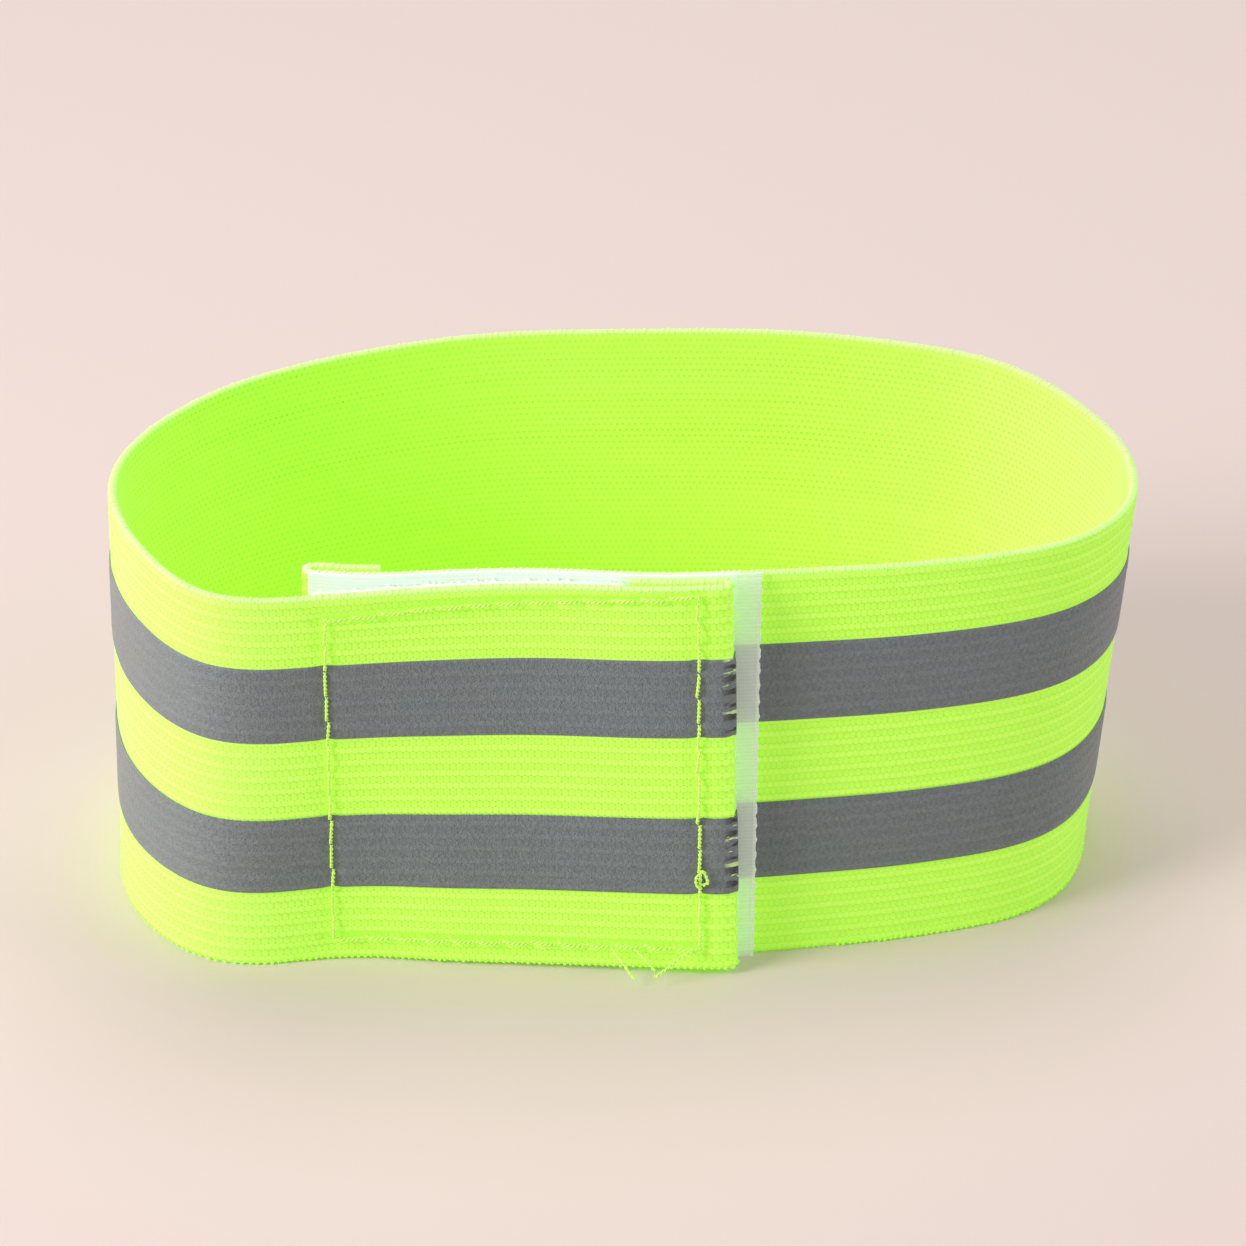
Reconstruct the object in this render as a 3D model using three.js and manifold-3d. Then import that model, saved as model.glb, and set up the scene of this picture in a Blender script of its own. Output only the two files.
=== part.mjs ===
// A reflective elastic wrist band, standing on its edge and closed round an empty wrist.
// One strip of knitted elastic webbing runs clockwise, seen from above, from the outer tab at the front
// round the left flank and the back to the inner tab, which lies behind the outer one.
// Hook tape on the inner tab grips loop tape on the outer tab. Millimetres, +Z up.

import * as THREE from "three";
import { mergeVertices } from "three/addons/utils/BufferGeometryUtils.js";
import Module from "manifold-3d";

// Overall sizes of the closed band, to the middle of its wall.
const LOOP_WIDTH = 122;
const LOOP_DEPTH = 71;
const WEB_HEIGHT = 50;
const WEB_THICKNESS = 1.2;

// Two tapes of reflective film on the outer face.
const FILM_THICKNESS = 0.2;
const FILM_HEIGHT = 10;
const FILM_LOWER_FOOT = 10.3;
const FILM_UPPER_FOOT = 30.9;

// The closure: lengths are measured along the strip from the outer tab's folded edge.
const OVERLAP = 52;
const LOOP_TAPE_START = 13.1;
const LOOP_TAPE_LENGTH = 36.4;
const TAPE_BASE = 0.7;
const LOOP_PILE = 0.9;
const HOOK_TAPE_LENGTH = 53.6;
const HOOK_TAPE_SHOWS = 3;
const HOOK_PILE = 0.5;
const HOOK_TAPE_RISE = 0.3;

// The hems, where each end of the strip is folded back inwards.
const OUTER_HEM_LENGTH = 12.5;
const OUTER_HEM_GAP = 0.3;
const INNER_HEM_LENGTH = 9.5;
const INNER_HEM_GAP = 0.6;

// The inner tab's tip springs away from the outer tab.
const TIP_SPRING = 2.4;
const TIP_LENGTH = 15;

// Sewing thread.
const THREAD = 0.45;
const TAB_SEAM_FROM_FOLD = 4.4;
const TAB_SEAM_MARGIN = 2.9;
const HOOK_SEAM_MARGIN = 4.2;
const SEAM_BORDER = 1.3;
const END_LOOP_RADIUS = 0.95;
const END_LOOP_HEIGHT = 12.1;

// Where the strip bends as a hinge, and the clearances between neighbours.
const TAB_ROOT_PAST_TAPE = 5.5;
const FLANK_LENGTH = 62.7;
const INNER_ROOT_PAST_TAPE = 5.5;
const BEND_GAP = 0.3;
const SKIN_GAP = 0.05;
const GRIP_GAP = 0.1;
const EASE_LENGTH = 32;
const STATION = 2.4;

// The shape of the closed loop seen from above, as shares of half the width and half the depth.
// It starts at the outer tab's folded edge and runs clockwise.
const PLAN_SHAPE = [
  [0.25, -0.85],
  [-0.27, -0.9],
  [-0.53, -0.96],
  [-0.76, -0.98],
  [-0.95, -0.66],
  [-1.0, -0.1],
  [-0.83, 0.44],
  [-0.42, 0.85],
  [0.0, 0.98],
  [0.4, 1.0],
  [0.76, 0.85],
  [0.97, 0.38],
  [0.99, -0.06],
  [0.9, -0.4],
  [0.63, -0.67],
];

// Places that follow from the sizes above.
const HALF_WEB = WEB_THICKNESS / 2;
const LOOP_TAPE_END = LOOP_TAPE_START + LOOP_TAPE_LENGTH;
const LOOP_TAPE_THICKNESS = TAPE_BASE + LOOP_PILE;
const HOOK_TAPE_THICKNESS = TAPE_BASE + HOOK_PILE;
const FILM_INNER = HALF_WEB + SKIN_GAP;
const FILM_OUTER = FILM_INNER + FILM_THICKNESS;
const THREAD_INNER = FILM_OUTER + SKIN_GAP;
const THREAD_OUTER = THREAD_INNER + THREAD;
const HOOK_TAPE_INNER = FILM_OUTER + SKIN_GAP;
const LOOP_TAPE_DEPTH = HALF_WEB + SKIN_GAP + LOOP_TAPE_THICKNESS;
const OUTER_HEM_DEPTH = OUTER_HEM_GAP + WEB_THICKNESS + FILM_OUTER;
const GRIP_DEPTH = Math.max(LOOP_TAPE_DEPTH, OUTER_HEM_DEPTH) + GRIP_GAP;
const LAYER_SPACING = HOOK_TAPE_INNER + HOOK_TAPE_THICKNESS + GRIP_DEPTH;

const cloth = new THREE.MeshStandardMaterial({ color: 0xb4f53c, roughness: 0.85 });
const film = new THREE.MeshStandardMaterial({ color: 0x8b8d8c, roughness: 0.45 });
const pile = new THREE.MeshStandardMaterial({ color: 0xeef3ec, roughness: 0.95 });
const moulded = new THREE.MeshStandardMaterial({ color: 0xc8d4cc, roughness: 0.5 });
const thread = new THREE.MeshStandardMaterial({ color: 0xd8ff5a, roughness: 0.6 });

const wasm = await Module();
wasm.setup();

// ---- the strip's middle line -------------------------------------------------------------------

const plan = new THREE.CatmullRomCurve3(
  PLAN_SHAPE.map(([x, y]) => new THREE.Vector3((x * LOOP_WIDTH) / 2, (y * LOOP_DEPTH) / 2, 0)),
  true,
  "centripetal",
);
plan.arcLengthDivisions = 2000;
const ROUND = plan.getLength();
const STRIP_END = ROUND + OVERLAP;
const TAB_ROOT = LOOP_TAPE_END + TAB_ROOT_PAST_TAPE;
const FLANK_END = TAB_ROOT + FLANK_LENGTH;
const HOOK_TAPE_START = ROUND - HOOK_TAPE_SHOWS;
const INNER_ROOT = HOOK_TAPE_START - INNER_ROOT_PAST_TAPE;

// How far the middle line stands out of the plan curve: half a layer spacing out at the outer tab,
// half a spacing in at the inner tab, with the tip springing further in.
function layerOffset(along) {
  const half = LAYER_SPACING / 2;
  const leaveOuter = THREE.MathUtils.smoothstep(along, TAB_ROOT, TAB_ROOT + EASE_LENGTH);
  const reachInner = THREE.MathUtils.smoothstep(along, INNER_ROOT - EASE_LENGTH, INNER_ROOT);
  const tip = Math.max(0, along - (STRIP_END - TIP_LENGTH)) / TIP_LENGTH;
  return half * (1 - leaveOuter) - half * reachInner - TIP_SPRING * tip * tip;
}

function middleLine(along) {
  const share = (((along / ROUND) % 1) + 1) % 1;
  const tangent = plan.getTangentAt(share);
  const out = new THREE.Vector3(-tangent.y, tangent.x, 0);
  return plan.getPointAt(share).addScaledVector(out, layerOffset(along));
}

// Stations along the middle line, each with its place and its outward direction. Every piece is built on
// these same stations, so the gap between two pieces is the same all along.
const stations = [];
const stationCount = Math.round(STRIP_END / STATION);
for (let i = 0; i <= stationCount; i++) {
  const along = (STRIP_END * i) / stationCount;
  const ahead = middleLine(along + 0.5).sub(middleLine(along - 0.5)).normalize();
  stations.push({ along, place: middleLine(along), out: new THREE.Vector3(-ahead.y, ahead.x, 0) });
}

// The point at a distance along the strip and a distance out of its middle line.
function onStrip(along, offset, z = 0) {
  const step = STRIP_END / stationCount;
  const i = THREE.MathUtils.clamp(Math.floor(along / step), 0, stationCount - 1);
  const share = (along - stations[i].along) / step;
  const place = stations[i].place.clone().lerp(stations[i + 1].place, share);
  const out = stations[i].out.clone().lerp(stations[i + 1].out, share);
  return place.addScaledVector(out, offset).setZ(z);
}

// A line of points that follows the strip at one offset, from one place along it to another.
function lane(from, to, offset) {
  const low = Math.min(from, to);
  const high = Math.max(from, to);
  const between = stations.map((s) => s.along).filter((a) => a > low + 0.05 && a < high - 0.05);
  const places = [low, ...between, high];
  if (from > to) places.reverse();
  return places.map((along) => onStrip(along, offset));
}

// ---- solids ------------------------------------------------------------------------------------

// An upright wall with the given outline seen from above.
function wall(outline, foot, head) {
  const shape = new THREE.Shape(outline.map((p) => new THREE.Vector2(p.x, p.y)));
  const geometry = new THREE.ExtrudeGeometry(shape, { depth: head - foot, bevelEnabled: false });
  return geometry.translate(0, 0, foot);
}

// A layer that lies along the strip between two offsets.
function layer(from, to, inner, outer, foot, head) {
  return wall([...lane(from, to, outer), ...lane(to, from, inner)], foot, head);
}

function solidOf(geometry) {
  const bare = new THREE.BufferGeometry();
  bare.setAttribute("position", geometry.getAttribute("position"));
  if (geometry.index) bare.setIndex(geometry.index);
  const merged = mergeVertices(bare, 1e-4);
  return new wasm.Manifold(
    new wasm.Mesh({
      numProp: 3,
      vertProperties: merged.attributes.position.array,
      triVerts: new Uint32Array(merged.index.array),
    }),
  );
}

function joined(...geometries) {
  const mesh = geometries.map(solidOf).reduce((a, b) => a.add(b)).getMesh();
  const geometry = new THREE.BufferGeometry();
  geometry.setAttribute("position", new THREE.BufferAttribute(mesh.vertProperties, 3));
  geometry.setIndex(new THREE.BufferAttribute(mesh.triVerts, 1));
  return geometry;
}

const band = new THREE.Group();

function addPiece(name, geometry, material) {
  geometry.computeVertexNormals();
  const mesh = new THREE.Mesh(geometry, material);
  mesh.name = name;
  band.add(mesh);
}

// ---- webbing -----------------------------------------------------------------------------------

// Half a turn round the end of the strip, from one face to the other, bulging beyond the place `along`.
function turn(along, middle, radius, beyond) {
  const points = [];
  const sides = 8;
  for (let i = 1; i < sides; i++) {
    const angle = (Math.PI * i) / sides;
    points.push(
      onStrip(along, middle + radius * Math.cos(angle)).add(
        beyond.clone().multiplyScalar(radius * Math.sin(angle)),
      ),
    );
  }
  return points;
}

// The webbing is folded about a plane in the middle of its hem. An offset on the outer side of the strip
// lies at the mirrored offset on the hem.
function hemPlane(gap) {
  return -HALF_WEB - gap / 2;
}

function onHem(offset, gap) {
  return 2 * hemPlane(gap) - offset;
}

// A layer from its root to the fold at the end of the strip, round it, and back along the hem.
function hemmedLayer(root, fold, hemEnd, gap, inner, outer, foot, head) {
  const middle = hemPlane(gap);
  const bendStart = fold + Math.sign(root - fold) * (HALF_WEB - middle);
  const beyond = onStrip(fold, 0).sub(onStrip(bendStart, 0)).normalize();
  const outline = [
    ...lane(root, bendStart, outer),
    ...turn(bendStart, middle, outer - middle, beyond),
    ...lane(bendStart, hemEnd, onHem(outer, gap)),
    ...lane(hemEnd, bendStart, onHem(inner, gap)),
    ...turn(bendStart, middle, inner - middle, beyond).reverse(),
    ...lane(bendStart, root, inner),
  ];
  return wall(outline, foot, head);
}

const halfBend = BEND_GAP / 2;
const stripRuns = {
  outer_tab: [TAB_ROOT - halfBend, 0, OUTER_HEM_LENGTH, OUTER_HEM_GAP],
  left_flank: [TAB_ROOT + halfBend, FLANK_END - halfBend],
  back_loop: [FLANK_END + halfBend, INNER_ROOT - halfBend],
  inner_tab: [INNER_ROOT + halfBend, STRIP_END, STRIP_END - INNER_HEM_LENGTH, INNER_HEM_GAP],
};

// A layer of the strip over one of its runs, with the run's hem if it has one.
function runLayer([from, to, hemEnd, gap], inner, outer, foot, head) {
  if (hemEnd === undefined) return layer(from, to, inner, outer, foot, head);
  return hemmedLayer(from, to, hemEnd, gap, inner, outer, foot, head);
}

for (const [name, run] of Object.entries(stripRuns)) {
  addPiece(`webbing_${name}`, runLayer(run, -HALF_WEB, HALF_WEB, 0, WEB_HEIGHT), cloth);
}

// ---- reflective film ---------------------------------------------------------------------------

// The film is bonded to the strip's outer face before the ends are folded, so it follows the hems.
const filmFeet = { upper: FILM_UPPER_FOOT, lower: FILM_LOWER_FOOT };
for (const [name, run] of Object.entries(stripRuns)) {
  for (const [level, foot] of Object.entries(filmFeet)) {
    const head = foot + FILM_HEIGHT;
    addPiece(`reflective_${level}_${name}`, runLayer(run, FILM_INNER, FILM_OUTER, foot, head), film);
  }
}

// ---- hook and loop tapes -----------------------------------------------------------------------

// A tape with a low border all round, which its seam runs in, and a raised pile inside the seam.
function tape(from, to, baseInner, baseOuter, pileInner, pileOuter, border, foot, head) {
  return joined(
    layer(from, to, baseInner, baseOuter, foot, head),
    layer(from + border, to - border, pileInner, pileOuter, foot + border, head - border),
  );
}

const loopBaseOuter = -HALF_WEB - SKIN_GAP;
const loopBaseInner = loopBaseOuter - TAPE_BASE;
const loopPileInner = loopBaseInner - LOOP_PILE;
const tabBorder = TAB_SEAM_MARGIN + SEAM_BORDER;
addPiece(
  "loop_tape",
  tape(
    LOOP_TAPE_START,
    LOOP_TAPE_END,
    loopBaseInner,
    loopBaseOuter,
    loopPileInner,
    loopBaseOuter - TAPE_BASE / 2,
    tabBorder,
    0,
    WEB_HEIGHT,
  ),
  pile,
);

const hookBaseOuter = HOOK_TAPE_INNER + TAPE_BASE;
const hookEnd = HOOK_TAPE_START + HOOK_TAPE_LENGTH;
const hookBorder = HOOK_SEAM_MARGIN + SEAM_BORDER;
addPiece(
  "hook_tape",
  tape(
    HOOK_TAPE_START,
    hookEnd,
    HOOK_TAPE_INNER,
    hookBaseOuter,
    HOOK_TAPE_INNER + TAPE_BASE / 2,
    hookBaseOuter + HOOK_PILE,
    hookBorder,
    0,
    WEB_HEIGHT + HOOK_TAPE_RISE,
  ),
  moulded,
);

// ---- seams -------------------------------------------------------------------------------------

// One thread round a box seam, lying on a face of the strip between two offsets: a frame of cells
// between the strip's stations, where the cells inside the frame are left out.
function boxSeam(from, to, foot, head, inner, outer) {
  const first = from + THREAD;
  const last = to - THREAD;
  const clear = THREAD / 4;
  const between = stations.map((s) => s.along).filter((a) => a > first + clear && a < last - clear);
  const alongs = [from, first, ...between, last, to];
  const heights = [foot, foot + THREAD, head - THREAD, head];
  const columns = alongs.length - 1;
  const rows = heights.length - 1;
  const points = alongs.flatMap((a) =>
    heights.flatMap((z) => [onStrip(a, inner, z), onStrip(a, outer, z)]),
  );
  const corner = (i, j, side) => (i * heights.length + j) * 2 + side;
  const isFilled = (i, j) => {
    if (i < 0 || i >= columns || j < 0 || j >= rows) return false;
    return i === 0 || i === columns - 1 || j !== 1;
  };
  const triangles = [];
  const quad = (a, b, c, d) => triangles.push(a, b, c, a, c, d);
  for (let i = 0; i < columns; i++) {
    for (let j = 0; j < rows; j++) {
      if (!isFilled(i, j)) continue;
      const at = (di, dj, side) => corner(i + di, j + dj, side);
      quad(at(0, 0, 1), at(0, 1, 1), at(1, 1, 1), at(1, 0, 1));
      quad(at(0, 0, 0), at(1, 0, 0), at(1, 1, 0), at(0, 1, 0));
      if (!isFilled(i - 1, j)) quad(at(0, 0, 0), at(0, 1, 0), at(0, 1, 1), at(0, 0, 1));
      if (!isFilled(i + 1, j)) quad(at(1, 0, 0), at(1, 0, 1), at(1, 1, 1), at(1, 1, 0));
      if (!isFilled(i, j - 1)) quad(at(0, 0, 0), at(0, 0, 1), at(1, 0, 1), at(1, 0, 0));
      if (!isFilled(i, j + 1)) quad(at(0, 1, 0), at(1, 1, 0), at(1, 1, 1), at(0, 1, 1));
    }
  }
  return new THREE.BufferGeometry().setFromPoints(points).setIndex(triangles);
}

const tabSeamFrom = TAB_SEAM_FROM_FOLD;
const tabSeamTo = LOOP_TAPE_END - SEAM_BORDER;
const seamFoot = TAB_SEAM_MARGIN;
const seamHead = WEB_HEIGHT - TAB_SEAM_MARGIN;
addPiece(
  "tab_seam_needle_thread",
  boxSeam(tabSeamFrom, tabSeamTo, seamFoot, seamHead, THREAD_INNER, THREAD_OUTER),
  thread,
);
const bobbinOuter = loopBaseInner - SKIN_GAP;
const bobbinInner = bobbinOuter - THREAD;
const bobbinFrom = LOOP_TAPE_START + SEAM_BORDER;
addPiece(
  "tab_seam_bobbin_thread",
  boxSeam(bobbinFrom, tabSeamTo, seamFoot, seamHead, bobbinInner, bobbinOuter),
  thread,
);

const hookSeamFrom = HOOK_TAPE_START + HOOK_SEAM_MARGIN;
const hookSeamTo = hookEnd - HOOK_SEAM_MARGIN;
const hookFoot = HOOK_SEAM_MARGIN;
const hookHead = WEB_HEIGHT - HOOK_SEAM_MARGIN;
const hookNeedleInner = hookBaseOuter + SKIN_GAP;
addPiece(
  "hook_seam_needle_thread",
  boxSeam(
    hookSeamFrom,
    hookSeamTo,
    hookFoot,
    hookHead,
    hookNeedleInner,
    hookNeedleInner + HOOK_PILE - SKIN_GAP,
  ),
  thread,
);
// The bobbin side runs on the inner face, and crosses the inner hem on the hem's own face, over its film.
const hemFace = onHem(THREAD_INNER, INNER_HEM_GAP);
const webFace = -HALF_WEB - SKIN_GAP;
const hookBobbinTo = STRIP_END - INNER_HEM_LENGTH - SEAM_BORDER;
addPiece(
  "hook_seam_bobbin_thread",
  boxSeam(hookSeamFrom, hookBobbinTo, hookFoot, hookHead, webFace - THREAD, webFace),
  thread,
);
addPiece(
  "hem_seam_bobbin_thread",
  boxSeam(hookBobbinTo + 2 * SEAM_BORDER, hookSeamTo, hookFoot, hookHead, hemFace - THREAD, hemFace),
  thread,
);

// ---- loose thread ends on the outer tab --------------------------------------------------------

function threadEnd(points) {
  const section = new THREE.Shape();
  section.absarc(0, 0, THREAD / 2, 0, 2 * Math.PI);
  const route = new THREE.CatmullRomCurve3(points.map(([a, out, z]) => onStrip(a, out, z)));
  return new THREE.ExtrudeGeometry(section, {
    steps: 8,
    curveSegments: 4,
    bevelEnabled: false,
    extrudePath: route,
  });
}

// Each end leaves the bottom row of the seam, hangs out over the edge and ends just off the floor.
const leave = THREAD_OUTER + THREAD;
const below = seamFoot - THREAD;
const tailFoot = THREAD;
const threadEnds = {
  left: [
    [14.2, leave, below],
    [13.2, leave + 1.8, below - 0.7],
    [11.3, leave + 4.4, tailFoot],
  ],
  middle: [
    [11.6, leave, below],
    [10.4, leave + 1.4, below - 0.8],
    [8.9, leave + 3, tailFoot],
  ],
  right: [
    [4.3, leave, below],
    [6.6, leave + 1.9, below - 0.6],
    [9.0, leave + 4.4, tailFoot],
  ],
};
for (const [side, points] of Object.entries(threadEnds)) {
  addPiece(`thread_end_${side}`, threadEnd(points), thread);
}

// A slack stitch stands off the right row as a small loop.
const loopRing = new THREE.TorusGeometry(END_LOOP_RADIUS, THREAD / 2, 6, 16);
const loopPlace = onStrip(tabSeamFrom, THREAD_OUTER + THREAD / 2 + SKIN_GAP, END_LOOP_HEIGHT);
const loopFacing = onStrip(tabSeamFrom, 1).sub(onStrip(tabSeamFrom, 0)).normalize();
const turned = new THREE.Quaternion().setFromUnitVectors(new THREE.Vector3(0, 0, 1), loopFacing);
loopRing.applyQuaternion(turned).translate(loopPlace.x, loopPlace.y, loopPlace.z);
addPiece("thread_slack_loop", loopRing, thread);

// The origin is the middle of the box that the band stands in, on the floor.
const middle = new THREE.Box3().setFromObject(band).getCenter(new THREE.Vector3());
band.position.set(-middle.x, -middle.y, 0);

export default band;
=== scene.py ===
# %% [markdown]
# # A reflective elastic wrist band, closed round an empty wrist
# The real band starts as a flat strip of knitted elastic webbing. Two tapes of reflective film are
# heat-bonded to it, its ends are folded and sewn with hook and loop tape, and only then is it bent round
# and closed. This lesson works in the same order: each piece is modelled flat, and one helper bends it
# round at the end. That keeps the stitches, the knit and the film in step with each other, however the
# loop curves.

# %% Load the fixed frame
import math
import bpy
import numpy as np
from mathutils import Matrix, Vector


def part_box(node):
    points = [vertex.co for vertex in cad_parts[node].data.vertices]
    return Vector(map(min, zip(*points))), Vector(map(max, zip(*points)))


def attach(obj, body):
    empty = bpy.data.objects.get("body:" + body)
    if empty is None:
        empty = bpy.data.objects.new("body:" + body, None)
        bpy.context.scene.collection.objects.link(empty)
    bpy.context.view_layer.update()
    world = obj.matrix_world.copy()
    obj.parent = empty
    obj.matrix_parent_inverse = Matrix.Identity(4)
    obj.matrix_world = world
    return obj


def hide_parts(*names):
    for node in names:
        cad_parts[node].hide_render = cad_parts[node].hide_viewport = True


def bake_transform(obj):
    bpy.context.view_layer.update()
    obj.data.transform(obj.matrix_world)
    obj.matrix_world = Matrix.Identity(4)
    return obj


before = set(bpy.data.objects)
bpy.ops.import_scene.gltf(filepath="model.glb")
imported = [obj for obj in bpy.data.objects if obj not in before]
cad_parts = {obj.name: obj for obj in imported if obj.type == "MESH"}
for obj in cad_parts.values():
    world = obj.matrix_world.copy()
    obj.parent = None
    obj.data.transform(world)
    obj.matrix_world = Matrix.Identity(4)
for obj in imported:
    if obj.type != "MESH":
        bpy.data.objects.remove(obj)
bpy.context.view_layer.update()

# %% [markdown]
# ## Sizes
# A maker's sheet comes first. The sizes are in metres, and MM keeps them readable. Lengths along the
# strip are measured from the folded edge of the outer tab, the end that is peeled open, clockwise seen
# from above.

# %% Sizes of the strip
MM = 0.001
LOOP_WIDTH = 122 * MM
LOOP_DEPTH = 71 * MM
WEB_HEIGHT = 50 * MM
WEB_THICKNESS = 1.2 * MM
HALF_WEB = WEB_THICKNESS / 2
FILM_THICKNESS = 0.2 * MM
FILM_HEIGHT = 10 * MM
FILM_FEET = {"upper": 30.9 * MM, "lower": 10.3 * MM}
SKIN_GAP = 0.05 * MM
OVERLAP = 52 * MM
LAYER_SPACING = 4.55 * MM
EASE_LENGTH = 32 * MM
TIP_SPRING = 2.4 * MM
TIP_LENGTH = 15 * MM

# %% Sizes of the hems, tapes and seams
OUTER_HEM_LENGTH = 12.5 * MM
OUTER_HEM_GAP = 0.3 * MM
INNER_HEM_LENGTH = 9.5 * MM
INNER_HEM_GAP = 0.6 * MM
LOOP_TAPE = (13.1 * MM, 49.5 * MM)
HOOK_TAPE_LENGTH = 53.6 * MM
HOOK_TAPE_SHOWS = 3 * MM
HOOK_TAPE_RISE = 0.3 * MM
TAPE_BASE = 0.7 * MM
TAB_ROOT = 55 * MM
FLANK_LENGTH = 62.7 * MM
INNER_ROOT_PAST_TAPE = 5.5 * MM
THREAD = 0.45 * MM
TAB_SEAM = {"from": 4.4 * MM, "to": 48.2 * MM, "foot": 2.9 * MM, "head": 47.1 * MM}
TAB_SEAM_RISE = 1.9 * MM
HOOK_SEAM_MARGIN = 4.2 * MM
STITCH = 3.4 * MM

# %% [markdown]
# ## The middle line of the closed band
# A soft band never stands in a true circle: it flattens along the closure, where the layers are stiff,
# and turns tighter beside it. The plan is therefore a closed curve through given points, as shares of
# half the width and half the depth. It is the same curve as the CAD frame's, so the looks and the
# collision solids agree.

# %% The plan curve
PLAN_SHAPE = [
    (0.25, -0.85), (-0.27, -0.9), (-0.53, -0.96), (-0.76, -0.98), (-0.95, -0.66),
    (-1.0, -0.1), (-0.83, 0.44), (-0.42, 0.85), (0.0, 0.98), (0.4, 1.0),
    (0.76, 0.85), (0.97, 0.38), (0.99, -0.06), (0.9, -0.4), (0.63, -0.67),
]


def closed_curve(points, per_span=200):
    """A closed centripetal Catmull-Rom curve through the points, as many points close together."""
    points = np.array(points)
    share = np.linspace(0, 1, per_span, endpoint=False)[:, None]
    spans = []
    for i in range(len(points)):
        p0, p1, p2, p3 = (points[(i + k - 1) % len(points)] for k in range(4))
        d0, d1, d2 = (np.linalg.norm(b - a) ** 0.5 for a, b in ((p0, p1), (p1, p2), (p2, p3)))
        leave = ((p1 - p0) / d0 - (p2 - p0) / (d0 + d1) + (p2 - p1) / d1) * d1
        arrive = ((p2 - p1) / d1 - (p3 - p1) / (d1 + d2) + (p3 - p2) / d2) * d1
        cubic = 2 * p1 - 2 * p2 + leave + arrive
        square = -3 * p1 + 3 * p2 - 2 * leave - arrive
        spans.append(p1 + leave * share + square * share**2 + cubic * share**3)
    return np.concatenate([*spans, spans[0][:1]])


plan = closed_curve([(x * LOOP_WIDTH / 2, y * LOOP_DEPTH / 2) for x, y in PLAN_SHAPE])
plan_length = np.concatenate([[0], np.cumsum(np.linalg.norm(np.diff(plan, axis=0), axis=1))])
ROUND = plan_length[-1]
STRIP_END = ROUND + OVERLAP
FLANK_END = TAB_ROOT + FLANK_LENGTH
HOOK_TAPE = (ROUND - HOOK_TAPE_SHOWS, ROUND - HOOK_TAPE_SHOWS + HOOK_TAPE_LENGTH)
INNER_ROOT = HOOK_TAPE[0] - INNER_ROOT_PAST_TAPE
print(f"once round {ROUND / MM:.1f} mm, finished strip {STRIP_END / MM:.1f} mm")


# %% The middle line, with the overlap's two layers apart
def smooth_step(value, low, high):
    share = np.clip((value - low) / (high - low), 0, 1)
    return share * share * (3 - 2 * share)


def layer_offset(along):
    """How far the strip stands out of the plan curve: out at the outer tab, in at the inner tab."""
    half = LAYER_SPACING / 2
    leave_outer = smooth_step(along, TAB_ROOT, TAB_ROOT + EASE_LENGTH)
    reach_inner = smooth_step(along, INNER_ROOT - EASE_LENGTH, INNER_ROOT)
    tip = np.maximum(0, along - (STRIP_END - TIP_LENGTH)) / TIP_LENGTH
    return half * (1 - leave_outer) - half * reach_inner - TIP_SPRING * tip**2


def unit_left(direction):
    """The unit vectors on the left of the directions of travel, which point out of the loop."""
    left = np.stack([-direction[:, 1], direction[:, 0]], axis=1)
    return left / np.linalg.norm(left, axis=1, keepdims=True)


def on_plan(along):
    return np.stack([np.interp(along % ROUND, plan_length, plan[:, k]) for k in range(2)], axis=1)


step = 0.25 * MM
margin = 6 * MM
table_along = np.arange(-margin, STRIP_END + margin, step)
plan_out = unit_left(on_plan(table_along + step) - on_plan(table_along - step))
table_place = on_plan(table_along) + plan_out * layer_offset(table_along)[:, None]
table_out = unit_left(np.gradient(table_place, axis=0))

# The CAD part is centred on its own box, so the curve is moved until both back walls agree.
_, back_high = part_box("webbing_back_loop")
outer_edge = table_place + table_out * HALF_WEB
table_place += np.array(back_high[:2]) - outer_edge.max(axis=0)
print("middle line", len(table_along), "points, back wall at y", round(back_high.y, 4))

# %% [markdown]
# ## Bending a flat piece round the band
# Every piece is modelled flat first: X runs along the strip, Y points out of its outer face, Z is its
# height. `wrap` then does what the hands do: it folds both hems, stands the strip on its edge and bends
# it round. It also gives the soft faults of the real one: the wall leans back a little, and the tab is
# pressed on askew. The flat place of each point is kept in an attribute, so a knit or an emboss is drawn
# in strip millimetres.

# %% Folding, leaning and wrapping
TAB_LIFT = 0.8 * MM
TAB_SHORT = 0.65 * MM
FOLD_SKEW = 0.01
SEAM_SKEW = 0.012
HOOK_SKEW = -0.01
HOOK_SHIFT = 0.5 * MM
TAB_FADE = 25 * MM
SMOOTH_REACH = 9
# A place along the strip, how far the top edge leans out there and how far the wall bulges, in mm.
SOFT_FAULTS = [
    (0, -6.7, 0.5), (10, -5.2, 0.25), (22, -5.5, -0.15), (34, -4.3, 0.1),
    (44, -1.4, -0.9), (52, -1.3, -0.2), (60, -2.6, -0.1), (75, -3.2, -0.3),
    (90, 0.1, 0.1), (120, 1.9, 0.1), (160, 4.7, 0.3), (200, 5.6, 0.4),
    (240, 3.4, 0.0), (262, 3.3, 0.8), (280, -4.4, 0.5), (300, -5.7, 0.7),
]


def smooth_round(column):
    """A smooth periodic curve through one column of the soft faults, as a table for each millimetre."""
    places = np.array([fault[0] for fault in SOFT_FAULTS]) * MM
    amounts = np.array([fault[column] for fault in SOFT_FAULTS]) * MM
    fine = np.arange(0, ROUND, 1 * MM)
    rough = np.interp(fine, places, amounts, period=ROUND)
    window = np.hanning(2 * SMOOTH_REACH + 1)
    padded = np.concatenate([rough[-SMOOTH_REACH:], rough, rough[:SMOOTH_REACH]])
    return fine, np.convolve(padded, window / window.sum(), "valid")


lean_table, bulge_table = smooth_round(1), smooth_round(2)


def lean(along):
    return np.interp(along % ROUND, *lean_table, period=ROUND)


def bulge(along):
    return np.interp(along % ROUND, *bulge_table, period=ROUND)


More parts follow.
